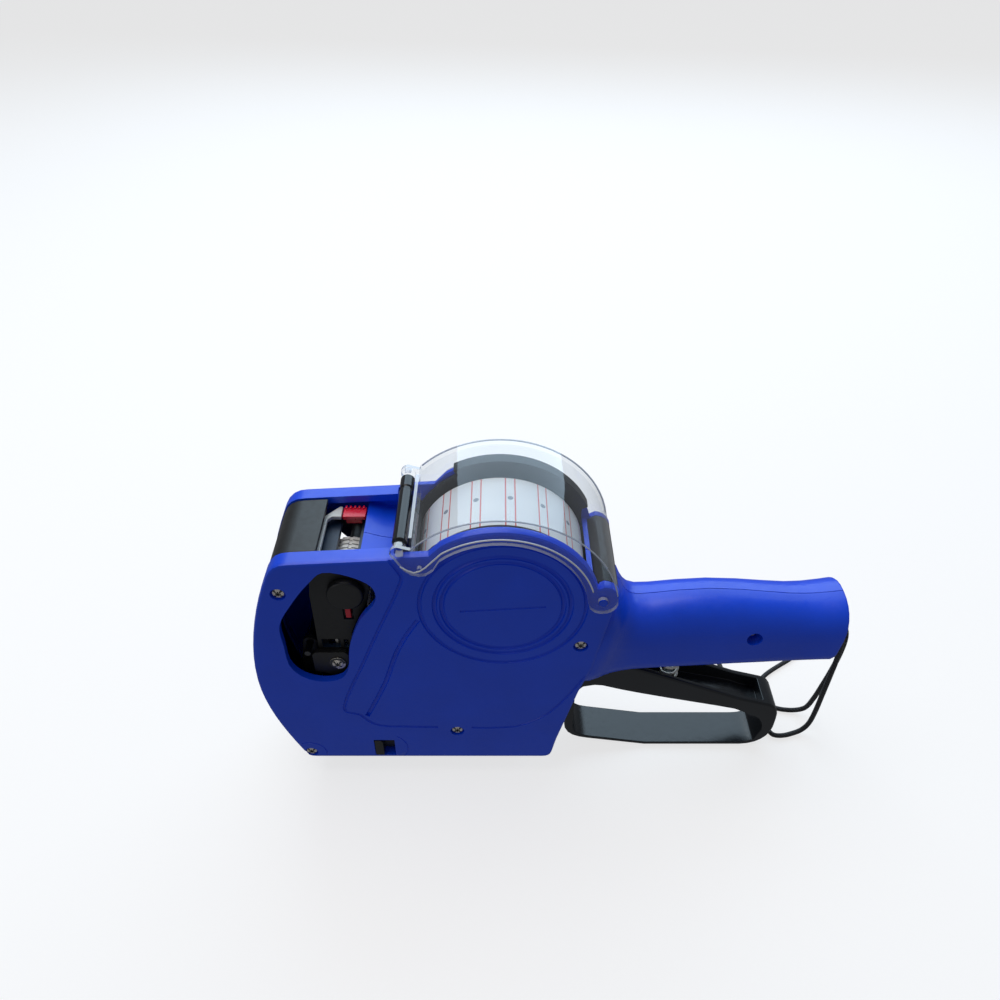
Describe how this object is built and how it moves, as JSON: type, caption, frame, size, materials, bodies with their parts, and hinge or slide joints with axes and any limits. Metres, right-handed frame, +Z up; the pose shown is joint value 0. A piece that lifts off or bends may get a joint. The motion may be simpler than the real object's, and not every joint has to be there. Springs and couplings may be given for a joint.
{
  "type": "price labeling gun",
  "caption": "Hand-held price labeling gun with a label roll under a hinged clear cover, a digit-band print head, a finger-loop trigger and a wrist strap.",
  "frame": {"origin": "on the flat underside of the base cover, on the parting plane, straight below the label roll's axis", "axes": "+Z up from the surface it stands on, +X along the gun from the nose to the end of the handle, Y = 0 on the casings' parting plane"},
  "size_m": [0.24, 0.0881, 0.1424],
  "materials": {
    "blue_casing": "satin moulded, royal blue",
    "black_plastic": "fine moulded texture",
    "black_gloss": "polished",
    "dark_frame": "blue-black, satin",
    "clear_plastic": "clear moulded plastic",
    "rubber": "matte",
    "white_rubber": "matte",
    "ink_foam": "inked felt",
    "steel": "bright zinc",
    "red_plastic": "gloss",
    "grey_plastic": "satin",
    "cardboard": "plain",
    "label_paper": "matte, red lines and grey feed dots",
    "strap_cord": "braided"
  },
  "bodies": {
    "body": {"casing_near": "blue_casing", "casing_far": "blue_casing", "front_cover": "black_plastic", "base_hinge_pin": "steel", "roll_tray": "black_plastic", "head_axle": "steel", "ink_pivot_pin": "steel", "feed_axle": "steel", "trigger_pin": "steel", "trigger_spring": "steel", "screw_front_top": "steel", "screw_front_bottom": "steel", "screw_base": "steel", "screw_rear": "steel", "screw_handle": "steel", "wrist_strap": "strap_cord"},
    "cover": {"clear_cover": "clear_plastic", "cover_rod": "black_gloss"},
    "roll": {"label_roll": "label_paper", "roll_core": "cardboard"},
    "head": {"head_frame": "dark_frame", "head_cap": "black_plastic", "head_bracket": "black_plastic", "head_screw": "steel", "head_flag": "red_plastic", "window_plate": "grey_plastic", "digit_band_1": "white_rubber", "digit_band_2": "white_rubber", "digit_band_3": "white_rubber", "digit_band_4": "white_rubber", "digit_band_5": "white_rubber", "digit_band_6": "white_rubber", "digit_band_7": "white_rubber", "digit_band_8": "white_rubber", "digit_wheel_1": "white_rubber", "digit_wheel_2": "white_rubber", "digit_wheel_3": "white_rubber", "digit_wheel_4": "white_rubber", "digit_wheel_5": "white_rubber", "digit_wheel_6": "white_rubber", "digit_wheel_7": "white_rubber", "digit_wheel_8": "white_rubber"},
    "pointer": {"pointer": "red_plastic"},
    "knob": {"selector_knob": "black_plastic"},
    "ink_arm": {"ink_holder": "black_plastic", "ink_axle": "steel"},
    "ink": {"ink_roller": "ink_foam"},
    "feed": {"feed_wheel": "black_plastic"},
    "trigger": {"trigger": "black_plastic"},
    "base": {"base_cover": "black_plastic", "applicator_axle": "steel"},
    "applicator": {"applicator_roller": "rubber"},
    "latch": {"latch": "black_plastic"}
  },
  "joints": [
    {"name": "cover_open", "type": "hinge", "parent": "body", "child": "cover", "pos_m": [0.0359, 0, 0.1045], "axis": [0, 1, 0], "range_deg": [0, 82]},
    {"name": "roll_spin", "type": "hinge", "parent": "body", "child": "roll", "pos_m": [0, 0, 0.1007], "axis": [0, 1, 0], "continuous": true},
    {"name": "trigger_pull", "type": "hinge", "parent": "body", "child": "trigger", "pos_m": [0.022, 0, 0.043], "axis": [0, -1, 0], "range_deg": [0, 16], "stiffness_Nm_per_rad": 1.5, "springref_deg": -17.19, "deforming": ["trigger_spring"]},
    {"name": "head_swing", "type": "hinge", "parent": "body", "child": "head", "pos_m": [-0.024, 0, 0.062], "axis": [0, -1, 0], "range_deg": [0, 4]},
    {"name": "pointer_slide", "type": "slide", "parent": "head", "child": "pointer", "axis": [0, -1, 0], "range_m": [0, 0.01505]},
    {"name": "knob_spin", "type": "hinge", "parent": "pointer", "child": "knob", "pos_m": [-0.0551, 0.024, 0.1018], "axis": [0, 1, 0], "continuous": true},
    {"name": "ink_swing", "type": "hinge", "parent": "body", "child": "ink_arm", "pos_m": [-0.0724, 0, 0.072], "axis": [0, 1, 0], "range_deg": [0, 6]},
    {"name": "ink_spin", "type": "hinge", "parent": "ink_arm", "child": "ink", "pos_m": [-0.0735, 0, 0.028], "axis": [0, 1, 0], "continuous": true},
    {"name": "feed_spin", "type": "hinge", "parent": "body", "child": "feed", "pos_m": [-0.03, 0, 0.0235], "axis": [0, 1, 0], "continuous": true},
    {"name": "base_open", "type": "hinge", "parent": "body", "child": "base", "pos_m": [0.0155, 0, 0.0136], "axis": [0, -1, 0], "range_deg": [0, 40]},
    {"name": "applicator_spin", "type": "hinge", "parent": "base", "child": "applicator", "pos_m": [-0.0705, 0, 0.0052], "axis": [0, 1, 0], "continuous": true},
    {"name": "latch_slide", "type": "slide", "parent": "body", "child": "latch", "axis": [1, 0, 0], "range_m": [0, 0.0045], "stiffness_N_per_m": 300, "springref_m": -0.003}
  ],
  "couplings": [
    {"joint": "head_swing", "follows": "trigger_pull", "ratio": 0.25},
    {"joint": "ink_swing", "follows": "trigger_pull", "ratio": 0.375},
    {"joint": "feed_spin", "follows": "trigger_pull", "ratio": 4.5}
  ]
}
